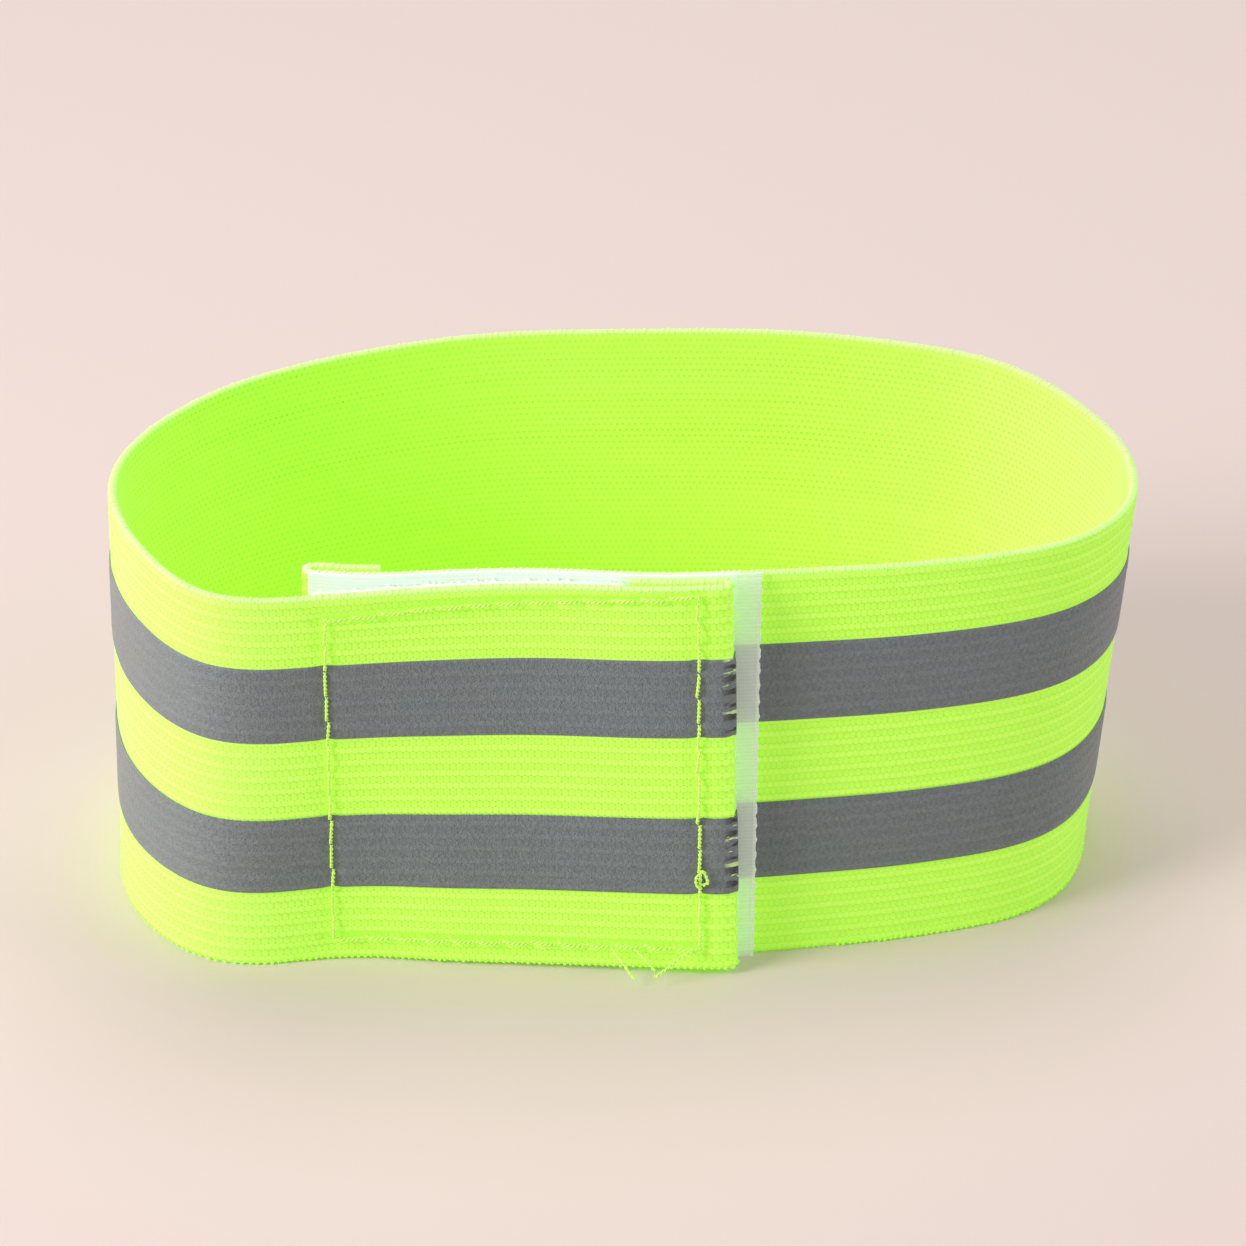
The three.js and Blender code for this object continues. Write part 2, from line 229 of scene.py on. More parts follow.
def hem_plane(gap):
    return -HALF_WEB - gap / 2


OUTER_BEND = HALF_WEB - hem_plane(OUTER_HEM_GAP)
INNER_BEND = STRIP_END - (HALF_WEB - hem_plane(INNER_HEM_GAP))
STRIP_FROM = OUTER_BEND - (math.pi * -hem_plane(OUTER_HEM_GAP) + OUTER_HEM_LENGTH - OUTER_BEND)
STRIP_TO = INNER_BEND + math.pi * -hem_plane(INNER_HEM_GAP) + INNER_HEM_LENGTH - (STRIP_END - INNER_BEND)


def folded(flat):
    """Folds both ends of the strip inwards: places along the strip and out of it."""
    along, out = flat[:, 0].copy(), flat[:, 1].copy()
    for bend, gap, way in ((OUTER_BEND, OUTER_HEM_GAP, -1), (INNER_BEND, INNER_HEM_GAP, 1)):
        middle = hem_plane(gap)
        past = way * (flat[:, 0] - bend)
        angle = np.clip(past / -middle, 0, math.pi)
        reach = flat[:, 1] - middle
        straight = np.maximum(past + math.pi * middle, 0)
        turning = past > 0
        along = np.where(turning, bend + way * (reach * np.sin(angle) - straight), along)
        out = np.where(turning, middle + reach * np.cos(angle), out)
    return along, out


def strip_points(flat):
    """Places round the closed band for points given on the flat strip."""
    along, out = folded(flat)
    height = flat[:, 2]
    on_tab = np.clip(1 - flat[:, 0] / TAB_ROOT, 0, 1)
    near_tab = 1 - smooth_step(flat[:, 0], TAB_ROOT, TAB_ROOT + TAB_FADE)
    lifted = height + TAB_LIFT * on_tab
    skew = FOLD_SKEW * on_tab + SEAM_SKEW * near_tab
    near_hook = smooth_step(flat[:, 0], INNER_ROOT, HOOK_TAPE[0])
    skew = skew + HOOK_SKEW * near_hook
    along = along + skew * (height - WEB_HEIGHT / 2) - TAB_SHORT * on_tab - HOOK_SHIFT * near_hook
    place = np.stack([np.interp(along, table_along, table_place[:, k]) for k in range(2)], axis=1)
    outward = np.stack([np.interp(along, table_along, table_out[:, k]) for k in range(2)], axis=1)
    out = out + bulge(along) + lean(along) * (height / WEB_HEIGHT - 0.5)
    return np.column_stack([place + outward * out[:, None], lifted])


def read_points(piece):
    points = np.zeros(len(piece.data.vertices) * 3)
    piece.data.vertices.foreach_get("co", points)
    return points.reshape(-1, 3)


def write_points(piece, points):
    piece.data.vertices.foreach_set("co", np.asarray(points, np.float32).ravel())
    piece.data.update()


def wrap(piece):
    """Bends a flat piece round the band, and keeps its flat places, in millimetres, in an attribute."""
    flat = read_points(piece)
    kept = piece.data.attributes.new("flat_mm", "FLOAT_VECTOR", "POINT")
    kept.data.foreach_set("vector", (flat / MM).astype(np.float32).ravel())
    write_points(piece, strip_points(flat))
    return piece


# %% [markdown]
# ## Small helpers for modelling
# An operator acts on everything that is selected, so each piece starts with an empty selection. The
# repeated things, such as stitches, loops and hooks, are modelled once and then set in rows by Array
# modifiers.

# %% Modelling helpers
def start_clean():
    if bpy.context.object and bpy.context.object.mode != "OBJECT":
        bpy.ops.object.mode_set(mode="OBJECT")
    bpy.ops.object.select_all(action="DESELECT")


def pick(piece):
    start_clean()
    piece.select_set(True)
    bpy.context.view_layer.objects.active = piece


def settle(piece, name):
    """Names a piece and moves its place and turn into its mesh."""
    pick(piece)
    piece.name = name
    piece.data.name = name
    bpy.ops.object.transform_apply(location=True, rotation=True, scale=True)
    return piece


def in_rows(piece, count, pitch):
    """Repeats a piece along X and then along Z, as one mesh."""
    pick(piece)
    for axis in (0, 2):
        if count[axis] < 2:
            continue
        rows = piece.modifiers.new("rows", "ARRAY")
        rows.use_relative_offset = False
        rows.use_constant_offset = True
        rows.constant_offset_displace = [pitch[axis] if k == axis else 0 for k in range(3)]
        rows.count = count[axis]
        bpy.ops.object.modifier_apply(modifier=rows.name)
    return piece


def joined(pieces, name):
    pick(pieces[0])
    for piece in pieces[1:]:
        piece.select_set(True)
    bpy.ops.object.join()
    return settle(bpy.context.object, name)


def cut_across(piece, axis, places):
    """Cuts a piece into short lengths along an axis, so that it can bend."""
    pick(piece)
    bpy.ops.object.mode_set(mode="EDIT")
    normal = [float(k == axis) for k in range(3)]
    for place in places:
        bpy.ops.mesh.select_all(action="SELECT")
        bpy.ops.mesh.bisect(plane_co=[place * part for part in normal], plane_no=normal)
    bpy.ops.object.mode_set(mode="OBJECT")


def smooth(piece, degrees=45):
    pick(piece)
    bpy.ops.object.shade_smooth_by_angle(angle=math.radians(degrees))
    return piece


def jitter_copies(piece, copies, spread, seed):
    """Moves each copy in a repeated mesh by its own small random amount."""
    points = read_points(piece).reshape(copies, -1, 3)
    moves = np.random.default_rng(seed).normal(0, 1, (copies, 1, 3)) * np.array(spread)
    write_points(piece, points + moves)


# %% [markdown]
# ## Which body each piece follows
# The CAD frame bends the strip at three upright hinges. Cloth doesn't fold on a line, so each run of
# webbing reaches past its hinge.

# %% Runs of the strip and their bends
BENDS = {
    "tab": (TAB_ROOT - 5 * MM, TAB_ROOT + 5 * MM),
    "flank": (FLANK_END - 15 * MM, FLANK_END + 15 * MM),
    "inner": (INNER_ROOT - 5 * MM, INNER_ROOT + 5 * MM),
}
RUNS = {
    "outer_tab": {"span": (STRIP_FROM, BENDS["tab"][1]), "blend": ("outer_tab", "left_flank", "tab")},
    "left_flank": {
        "span": (BENDS["tab"][1], BENDS["flank"][1]), "blend": ("left_flank", "back_loop", "flank"),
    },
    "back_loop": {"span": (BENDS["flank"][1], BENDS["inner"][0]), "blend": None},
    "inner_tab": {"span": (BENDS["inner"][0], STRIP_TO), "blend": ("back_loop", "inner_tab", "inner")},
}


def follow(piece, run):
    """Rides on the run's body if the run has no bend; otherwise it only bakes the piece's transform into
    its mesh.
    """
    blend = RUNS[run]["blend"]
    if blend is None:
        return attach(piece, run)
    first, second, bend = blend
    ends = strip_points(np.array([(along, 0, WEB_HEIGHT / 2) for along in BENDS[bend]]))
    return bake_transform(piece)


def hang(piece, finish, body, node=None, degrees=80, bends=False):
    """Bends a flat piece round the band, finishes it and lets it ride on a body, or passes it to follow.
    """
    wrap(piece).data.materials.append(finish)
    smooth(piece, degrees)
    if bends:
        follow(piece, body)
    else:
        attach(piece, body)
    if node:
        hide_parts(node)
    print(piece.name, len(piece.data.polygons), "faces")


for run, facts in RUNS.items():
    print(run, "from", round(facts["span"][0] / MM, 1), "to", round(facts["span"][1] / MM, 1), "mm")

# %% [markdown]
# ## Shader groups
# Each face's knit is the same everywhere on the strip, so it is one node group, which turns the flat
# millimetres into a height and a gap. The outer face shows ribs that run round the band, crossed by
# short upright stitches half a pitch apart from one row to the next. The inner face shows a fine grid
# of dots.

# %% Node helpers
def new_group(name, inputs, outputs):
    group = bpy.data.node_groups.new(name, "ShaderNodeTree")
    for way, sockets in (("INPUT", inputs), ("OUTPUT", outputs)):
        for label, kind in sockets:
            group.interface.new_socket(label, in_out=way, socket_type=kind)
    return group, group.nodes.new("NodeGroupInput"), group.nodes.new("NodeGroupOutput")


def feed(tree, socket, value):
    """Links a socket to another one, or sets it to a number or a colour."""
    if isinstance(value, bpy.types.NodeSocket):
        tree.links.new(value, socket)
    elif isinstance(value, tuple):
        socket.default_value = (*value, 1)
    else:
        socket.default_value = value


def math_node(tree, operation, *values, clamp=False):
    node = tree.nodes.new("ShaderNodeMath")
    node.operation = operation
    node.use_clamp = clamp
    for socket, value in zip(node.inputs, values):
        feed(tree, socket, value)
    return node.outputs[0]


def times(tree, first, second, clamp=False):
    return math_node(tree, "MULTIPLY", first, second, clamp=clamp)


def scaled_sum(tree, value, scale, more, clamp=False):
    """The value times the scale, plus more."""
    return math_node(tree, "MULTIPLY_ADD", value, scale, more, clamp=clamp)


def distance_from(tree, value, place):
    return math_node(tree, "ABSOLUTE", math_node(tree, "SUBTRACT", value, place))


def wave(tree, turns):
    """A row of equal arches, 0 at each whole turn and 1 half way between."""
    return math_node(tree, "ABSOLUTE", math_node(tree, "SINE", times(tree, turns, math.pi)))


def axes_of(tree, vector):
    node = tree.nodes.new("ShaderNodeSeparateXYZ")
    tree.links.new(vector, node.inputs[0])
    return node.outputs


def noise_node(tree, vector, scale, detail=2.0, roughness=0.5):
    node = tree.nodes.new("ShaderNodeTexNoise")
    node.inputs["Scale"].default_value = scale
    node.inputs["Detail"].default_value = detail
    node.inputs["Roughness"].default_value = roughness
    tree.links.new(vector, node.inputs["Vector"])
    return node.outputs[0]


def ramp_node(tree, value, stops):
    """A colour ramp: stops are pairs of a position and a linear colour."""
    node = tree.nodes.new("ShaderNodeValToRGB")
    for element, (position, colour) in zip(node.color_ramp.elements, stops):
        element.position = position
        element.color = (*colour, 1)
    tree.links.new(value, node.inputs[0])
    return node.outputs[0]


def mix_colour(tree, factor, first, second):
    node = tree.nodes.new("ShaderNodeMix")
    node.data_type = "RGBA"
    for socket, value in ((node.inputs[0], factor), (node.inputs[6], first), (node.inputs[7], second)):
        feed(tree, socket, value)
    return node.outputs[2]


# %% The knit of both faces
RIB_COUNT = 30
RIB_PITCH_MM = WEB_HEIGHT / MM / RIB_COUNT
TICK_PITCH_MM = 0.79


def make_knit(name, grooved, shift, line, dots, dot_size, ticks):
    """Half rows of stitches: Height is the yarn's relief, Gap is 1 in the dark holes between stitches. On
    a grooved face Gap also holds painted shade along the grooves between the ribs.
    """
    group, given, made = new_group(
        name,
        [("Flat", "NodeSocketVector")],
        [("Height", "NodeSocketFloat"), ("Gap", "NodeSocketFloat")],
    )
    flat = given.outputs["Flat"]

    def valley(turns, sharpness):
        return math_node(group, "SUBTRACT", 1.0, math_node(group, "POWER", wave(group, turns), sharpness))

    along, _, height = axes_of(group, flat)
    ribs = math_node(group, "DIVIDE", height, RIB_PITCH_MM)
    row = scaled_sum(group, ribs, 2.0, 0.5)
    row_number = math_node(group, "FLOOR", math_node(group, "ADD", row, shift))
    tick = math_node(group, "DIVIDE", along, TICK_PITCH_MM)
    tick = math_node(group, "ADD", tick, times(group, row_number, 0.5))
    wander = times(group, noise_node(group, flat, 0.35, 1), 0.35)
    tick_gap = valley(math_node(group, "ADD", tick, wander), 0.9)
    gap = times(group, valley(row, 0.8), tick_gap)
    gap = scaled_sum(group, gap, dots, (dot_size - 1) * dots)
    gap = math_node(group, "MAXIMUM", gap, 0.0)
    # Painted shade: the line share darkens every groove between the ribs, as the shade below each rib.
    if grooved:
        gap = times(group, math_node(group, "ADD", gap, line), valley(ribs, 1.4))
    gap = math_node(group, "ADD", gap, times(group, tick_gap, ticks), clamp=True)
    fuzz = times(group, noise_node(group, flat, 5, 4, 0.7), 0.4)
    group.links.new(math_node(group, "SUBTRACT", fuzz, gap), made.inputs["Height"])
    group.links.new(gap, made.inputs["Gap"])
    return group


# Here line is the share of painted shade in the grooves between the ribs.
knit_outer = make_knit(
    "knit_of_outer_face", grooved=True, shift=0.0, line=0.45, dots=4.0, dot_size=0.85, ticks=0.3
)
knit_inner = make_knit(
    "knit_of_inner_face", grooved=False, shift=0.5, line=0.0, dots=5.0, dot_size=0.76, ticks=0.03
)
print("knit groups", knit_outer.name, knit_inner.name)

# %% [markdown]
# ## The webbing's finish
# Fluorescent yarn is brighter than the light on it, because it turns blue and ultraviolet light into
# green. A little emission of its own colour stands for that. The yarn is matt, with a soft sheen at a
# flat angle.


# %% Material helpers
def new_material(name, roughness, **constants):
    material = bpy.data.materials.new(name)
    material.use_nodes = True
    tree = material.node_tree
    shader = tree.nodes["Principled BSDF"]
    shader.inputs["Roughness"].default_value = roughness
    for label, value in constants.items():
        shader.inputs[label.replace("_", " ")].default_value = value
    return material, tree, shader


def flat_places(tree):
    node = tree.nodes.new("ShaderNodeAttribute")
    node.attribute_name = "flat_mm"
    return node.outputs["Vector"]


def bump(tree, shader, height, distance):
    node = tree.nodes.new("ShaderNodeBump")
    node.inputs["Distance"].default_value = distance
    node.inputs["Strength"].default_value = 1.0
    tree.links.new(height, node.inputs["Height"])
    tree.links.new(node.outputs["Normal"], shader.inputs["Normal"])


def knit_node(tree, knit, flat):
    """The knit's height and gap, at places of the flat strip."""
    node = tree.nodes.new("ShaderNodeGroup")
    node.node_tree = knit
    tree.links.new(flat, node.inputs["Flat"])
    return node.outputs["Height"], node.outputs["Gap"]


def near_place(tree, along, place, reach):
    """1 at a place along the strip, falling to 0 at its reach, both in millimetres."""
    return scaled_sum(tree, distance_from(tree, along, float(place)), -1.0 / reach, 1.0, clamp=True)


# %% Webbing material
YARN_BRIGHT = (0.68, 0.95, 0.155)
YARN_DEEP = (0.4, 0.78, 0.025)
YARN_CLOUD = (0.71, 0.96, 0.19)
YARN_INNER = (0.65, 0.95, 0.12)
YARN_INNER_DEEP = (0.3, 0.66, 0.015)
YARN_HIGHLIGHT_PALE = (0.78, 0.98, 0.36)
YARN_PALE = (0.71, 0.97, 0.41)
YARN_HIGHLIGHT_WHITE = (0.86, 0.98, 0.74)
YARN_GLOW = (0.28, 1.0, 0.01)
# Where the loop turns tightest at each side, and how far the painted highlight there reaches from it.
RIGHT_TURN_MM = (250, 50)
LEFT_TURN_MM = (82, 32)
RIM_FOOT_MM = WEB_HEIGHT / MM - 0.6


def open_knit_node(tree, flat, right_turn):
    """How far the inner face's dots are open: in long bands, and less at the right turn, under the
    painted highlight there.
    """
    along, _, height = axes_of(tree, flat)
    bands = tree.nodes.new("ShaderNodeCombineXYZ")
    tree.links.new(times(tree, along, 0.02), bands.inputs["X"])
    tree.links.new(height, bands.inputs["Z"])
    banded = scaled_sum(tree, noise_node(tree, bands.outputs[0], 0.35, 2), 3.0, -0.95, clamp=True)
    return times(tree, banded, scaled_sum(tree, right_turn, -0.75, 1.0))


def make_webbing():
    material, tree, shader = new_material(
        "fluorescent_webbing", 0.85, Sheen_Weight=0.2, Sheen_Roughness=0.5, Emission_Strength=0.36
    )
    flat = flat_places(tree)
    along, out, height = axes_of(tree, flat)
    outer_relief, outer_gap = knit_node(tree, knit_outer, flat)
    inner_relief, inner_gap = knit_node(tree, knit_inner, flat)
    on_outer = math_node(tree, "GREATER_THAN", out, 0.0)
    on_inner = math_node(tree, "SUBTRACT", 1.0, on_outer)
    right_turn = near_place(tree, along, *RIGHT_TURN_MM)
    left_turn = near_place(tree, along, *LEFT_TURN_MM)

    # The outer gap mixes in YARN_DEEP: the dark holes, and the painted shade in the grooves.
    outer_colour = mix_colour(tree, times(tree, outer_gap, 0.8), YARN_BRIGHT, YARN_DEEP)
    inner_open = times(tree, inner_gap, open_knit_node(tree, flat, right_turn))
    inner_colour = mix_colour(tree, inner_open, YARN_INNER, YARN_INNER_DEEP)
    colour = mix_colour(tree, on_outer, inner_colour, outer_colour)
    cloudy = times(tree, noise_node(tree, flat, 0.06, 3), 0.3)
    colour = mix_colour(tree, cloudy, colour, YARN_CLOUD)
    # Painted highlight: at the left turn on the outer face and at the right turn on the inner face, where
    # the left light falls, the colour is mixed towards pale green.
    turn_highlight = math_node(
        tree, "MAXIMUM", times(tree, right_turn, on_inner), times(tree, left_turn, on_outer)
    )
    colour = mix_colour(tree, times(tree, turn_highlight, 0.5), colour, YARN_HIGHLIGHT_PALE)

    # Painted highlight: the top edge, lit from above, is painted pale, and near white along the hook
    # tape.
    from_closure = distance_from(tree, along, (ROUND + OVERLAP / 2) / MM)
    at_hook_tape = math_node(tree, "LESS_THAN", from_closure, OVERLAP / MM / 2 + 0.5)
    rim_highlight_colour = mix_colour(tree, at_hook_tape, YARN_PALE, YARN_HIGHLIGHT_WHITE)
    rim = times(tree, math_node(tree, "SUBTRACT", height, RIM_FOOT_MM), 2.2, clamp=True)
    colour = mix_colour(tree, times(tree, rim, 0.75), colour, rim_highlight_colour)
    tree.links.new(colour, shader.inputs["Base Color"])
    shader.inputs["Emission Color"].default_value = (*YARN_GLOW, 1)
    bump(tree, shader, mix_colour(tree, on_outer, inner_relief, outer_relief), 0.1 * MM)
    return material


webbing = make_webbing()
print("material", webbing.name)

# %% [markdown]
# ## The webbing
# Real webbing has a thickness, rounded edges and ribs that can be felt. One grid becomes its skin: the
# grid's columns run along the strip, and its rows go once round the strip's section, up the ribbed outer
# face, over the top edge, down the inner face and under the bottom edge. Merging the first row with the
# last closes it.

# %% The section of the webbing
RIB_DEPTH = 0.15 * MM
POINTS_PER_RIB = 6
INNER_ROWS = 60
INNER_SINK = 0.05 * MM
EDGE_POINTS = 6
WEB_STEP = 1.0 * MM
STITCH_PULL = 0.16 * MM
HOLE_PULL = 0.24 * MM
PULL_REACH = 0.75 * MM


def webbing_section():
    """The points round the section, as (out, height) pairs, from the bottom of the outer face."""
    radius = HALF_WEB - RIB_DEPTH / 2
    up = np.linspace(radius, WEB_HEIGHT - radius, RIB_COUNT * POINTS_PER_RIB)
    rib = np.abs(np.sin(math.pi * up / WEB_HEIGHT * RIB_COUNT)) ** 0.6
    outer = np.column_stack([HALF_WEB - RIB_DEPTH * (1 - rib), up])
    inner_edge = -HALF_WEB + INNER_SINK
    down = np.linspace(WEB_HEIGHT - radius, radius, INNER_ROWS)
    inner = np.column_stack([np.full(INNER_ROWS, inner_edge), down])
    turn = np.linspace(0, math.pi, EDGE_POINTS + 2)[1:-1]
    middle = (outer[-1, 0] + inner_edge) / 2
    half = (outer[-1, 0] - inner_edge) / 2
    top = np.column_stack([middle + half * np.cos(turn), WEB_HEIGHT - radius + radius * np.sin(turn)])
    bottom = np.column_stack([middle - half * np.cos(turn), radius - radius * np.sin(turn)])
    return np.concatenate([outer, top, inner, bottom, outer[:1]])


def seam_head(along):
    """The upper row of the tab's seam was sewn askew: it climbs towards the fold."""
    share = (TAB_SEAM["to"] - along) / (TAB_SEAM["to"] - TAB_SEAM["from"])
    return TAB_SEAM["head"] + TAB_SEAM_RISE * share


def seam_sink(along, height):
    """How far the tab's box seam pulls its outer face in, deepest at the needle's holes."""
    inside = (along > TAB_SEAM["from"] - MM) & (along < TAB_SEAM["to"] + MM)
    between = (height > TAB_SEAM["foot"] - MM) & (height < TAB_SEAM["head"] + MM)
    to_row = np.minimum(np.abs(height - TAB_SEAM["foot"]), np.abs(height - seam_head(along)))
    to_column = np.minimum(np.abs(along - TAB_SEAM["from"]), np.abs(along - TAB_SEAM["to"]))
    sink = np.zeros(len(along))
    for close, distance, travelled in (
        (inside, to_row, along - TAB_SEAM["from"]),
        (between, to_column, height - TAB_SEAM["foot"]),
    ):
        hole = 0.5 + 0.5 * np.cos(2 * math.pi * travelled / STITCH)
        depth = (STITCH_PULL + HOLE_PULL * hole) * np.exp(-((distance / PULL_REACH) ** 2))
        sink = np.maximum(sink, np.where(close, depth, 0))
    return sink


def skin_of(name, span, section, spacing):
    """A closed skin along the flat strip with the given section."""
    columns = max(8, round((span[1] - span[0]) / spacing))
    start_clean()
    bpy.ops.mesh.primitive_grid_add(x_subdivisions=columns, y_subdivisions=len(section) - 1, size=1)
    piece = bpy.context.object
    share = read_points(piece) + 0.5
    row = np.rint(share[:, 1] * (len(section) - 1)).astype(int)
    along = span[0] + share[:, 0] * (span[1] - span[0])
    write_points(piece, np.column_stack([along, section[row]]))
    bpy.ops.object.mode_set(mode="EDIT")
    bpy.ops.mesh.select_all(action="SELECT")
    bpy.ops.mesh.remove_doubles(threshold=0.001 * MM)
    bpy.ops.mesh.fill_holes(sides=0)
    bpy.ops.mesh.select_all(action="SELECT")
    bpy.ops.mesh.normals_make_consistent(inside=False)
    bpy.ops.object.mode_set(mode="OBJECT")
    return settle(piece, name)


def pull_in(piece):
    """Sinks the outer face of a flat piece where the tab's seam holds it down."""
    points = read_points(piece)
    on_face = (points[:, 0] > OUTER_BEND) & (points[:, 1] > 0)
    points[:, 1] -= np.where(on_face, seam_sink(points[:, 0], points[:, 2]), 0)
    write_points(piece, points)


# %% Four runs of webbing
section = webbing_section()
for run, facts in RUNS.items():
    web = skin_of(f"webbing_of_{run}", facts["span"], section, WEB_STEP)
    if run == "outer_tab":
        pull_in(web)
    hang(web, webbing, run, f"webbing_{run}", degrees=60, bends=True)

# %% [markdown]
# ## The knitted edges
# The weft yarn turns back at each edge of the webbing and leaves a row of tiny loops, which gives the
# edge its beaded look. One loop is the upper half of a torus, cut off with a bisect. An array sets it
# along the edge.

# %% Selvedge loops
SELVEDGE_PITCH = 0.74 * MM
LOOP_SEAT = 0.45 * MM
LOOP_STRETCH = 1.1
LOOP_STANDS_OUT = 0.14 * MM


def selvedge_loop():
    """One arch of yarn over the edge of the webbing, at the origin."""
    start_clean()
    bpy.ops.mesh.primitive_torus_add(
        major_radius=0.36 * MM, minor_radius=0.2 * MM, major_segments=12, minor_segments=6,
        rotation=(0, math.pi / 2, 0),
    )
    bpy.ops.object.transform_apply(rotation=True)
    bpy.ops.object.mode_set(mode="EDIT")
    bpy.ops.mesh.select_all(action="SELECT")
    bpy.ops.mesh.bisect(plane_co=(0, 0, -0.05 * MM), plane_no=(0, 0, 1), clear_inner=True)
    bpy.ops.mesh.select_all(action="SELECT")
    bpy.ops.mesh.fill_holes(sides=0)
    bpy.ops.object.mode_set(mode="OBJECT")
    return bpy.context.object


def make_selvedge(run, edge):
    span = RUNS[run]["span"]
    count = int((span[1] - span[0]) / SELVEDGE_PITCH)
    loop = in_rows(selvedge_loop(), (count, 1, 1), (SELVEDGE_PITCH, 0, 0))
    jitter_copies(loop, count, (0.05 * MM, 0.03 * MM, 0.04 * MM), seed=len(run) + len(edge))
    points = read_points(loop)
    points[:, 0] += span[0] + (span[1] - span[0] - (count - 1) * SELVEDGE_PITCH) / 2
    if edge == "upper":
        points[:, 2] += WEB_HEIGHT - LOOP_SEAT
    else:
        # The lower loops stand out of the face a little, except in the fold and behind the tab.
        points[:, 2] = LOOP_SEAT - points[:, 2]
        free = (run != "inner_tab") & (np.abs(points[:, 0]) > 1.5 * MM)
        points[:, 1] = points[:, 1] * LOOP_STRETCH + np.where(free, LOOP_STANDS_OUT, 0)
        loop.data.flip_normals()
    write_points(loop, points)
    settle(loop, f"{edge}_selvedge_of_{run}")
    hang(loop, webbing, run, degrees=70, bends=True)


for run in RUNS:
    for edge in ("upper", "lower"):
        make_selvedge(run, edge)

# %% [markdown]
# ## The reflective film
# Millions of glass beads in a grey binder throw light back at its source. By day the film is a plain
# satin grey, finely pebbled, and the knit under it prints through as rows of faint dashes. It is a
# second skin on the webbing, so it is made the same way as the webbing, with a flatter and thinner
# section.


# %% Film material
FILM_DARK = (0.174, 0.212, 0.226)
FILM_LIGHT = (0.256, 0.302, 0.32)
FILM_CLOUD = (0.212, 0.226, 0.222)
FILM_DASH = (0.07, 0.075, 0.07)
FILM_HIGHLIGHT_GREY = (0.36, 0.36, 0.345)
FILM_CRACK = (0.025, 0.03, 0.02)
LEFT_HIGHLIGHT_MM = (84, 30)
FOLD_MM = (0.9, 0.95)
CRACK_LIMIT = 0.385
FLECK_LIMIT = 1.115


def fold_cracks(tree, flat):
    """Where the film has cracked over the tab's fold, and where yarn shows through, rib by rib."""
    along, _, height = axes_of(tree, flat)
    middle, reach = FOLD_MM
    at_fold = math_node(tree, "SUBTRACT", reach, distance_from(tree, along, middle), clamp=True)
    stretch = tree.nodes.new("ShaderNodeMapping")
    stretch.inputs["Scale"].default_value = (0.6, 0.6, 1.5)
    tree.links.new(flat, stretch.inputs["Vector"])
    chance = noise_node(tree, stretch.outputs[0], 1.0, 3, 0.6)
    on_rib = wave(tree, math_node(tree, "DIVIDE", height, RIB_PITCH_MM))
    torn = math_node(tree, "GREATER_THAN", scaled_sum(tree, on_rib, -0.22, chance), CRACK_LIMIT)
    bare = math_node(tree, "GREATER_THAN", scaled_sum(tree, on_rib, 0.6, chance), FLECK_LIMIT)
    return times(tree, at_fold, torn), times(tree, at_fold, bare)


def make_film():
    material, tree, shader = new_material(
        "reflective_film", 0.5, Specular_IOR_Level=0.45, Sheen_Weight=0.35, Sheen_Roughness=0.35
    )
    flat = flat_places(tree)
    along, _, _ = axes_of(tree, flat)
    knit_relief, knit_gap = knit_node(tree, knit_outer, flat)
    grain = noise_node(tree, flat, 2.2, 4, 0.65)
    colour = ramp_node(tree, grain, [(0.35, FILM_DARK), (0.65, FILM_LIGHT)])
    cloud = times(tree, noise_node(tree, flat, 0.07, 3), 0.35)
    colour = mix_colour(tree, cloud, colour, FILM_CLOUD)
    # The knit's gap darkens the film in dashes, and carries the knit's painted groove shade with it.
    colour = mix_colour(tree, times(tree, knit_gap, 0.26), colour, FILM_DASH)
    # Painted highlight: the film is lightened round the left turn, where the left light falls on it.
    film_highlight = times(tree, near_place(tree, along, *LEFT_HIGHLIGHT_MM), 0.5)
    colour = mix_colour(tree, film_highlight, colour, FILM_HIGHLIGHT_GREY)
    crack, fleck = fold_cracks(tree, flat)
    colour = mix_colour(tree, times(tree, crack, 0.95), colour, FILM_CRACK)
    colour = mix_colour(tree, times(tree, fleck, 1.6, clamp=True), colour, YARN_PALE)
    tree.links.new(colour, shader.inputs["Base Color"])

    pebbles = tree.nodes.new("ShaderNodeTexVoronoi")
    pebbles.inputs["Scale"].default_value = 5.0
    tree.links.new(flat, pebbles.inputs["Vector"])
    printed = times(tree, knit_relief, 0.45)
    relief = math_node(tree, "ADD", times(tree, pebbles.outputs["Distance"], 0.8), printed)
    relief = math_node(tree, "ADD", relief, times(tree, grain, 0.6))
    bump(tree, shader, relief, 0.09 * MM)
    return material


film = make_film()
print("material", film.name)

# %% Film on each run
FILM_STEP = 0.8 * MM
FACE_ROWS = 37
BACK_ROWS = 9
GROOVE_SAG = 0.06 * MM
EDGE_SINK = 0.12 * MM
EDGE_REACH = 0.25 * MM


def film_section(foot):
    """A thin flat section that sags a little into the grooves between the ribs."""
    inner = HALF_WEB + SKIN_GAP / 2
    head = foot + FILM_HEIGHT
    up = np.linspace(foot, head, FACE_ROWS)
    sag = GROOVE_SAG * (1 - np.abs(np.sin(math.pi * up / WEB_HEIGHT * RIB_COUNT)) ** 0.6)
    edge = EDGE_SINK * np.exp(-np.minimum(up - foot, head - up) / EDGE_REACH)
    face = np.column_stack([inner + FILM_THICKNESS - sag - edge, up])
    back = np.column_stack([np.full(BACK_ROWS, inner), np.linspace(head, foot, BACK_ROWS)])
    return np.concatenate([face, back, face[:1]])


for run, facts in RUNS.items():
    for level, foot in FILM_FEET.items():
        stripe = skin_of(f"{level}_stripe_of_{run}", facts["span"], film_section(foot), FILM_STEP)
        if run == "outer_tab":
            pull_in(stripe)
        node = f"reflective_{level}_{run}"
        hang(stripe, film, run, node, degrees=50, bends=True)

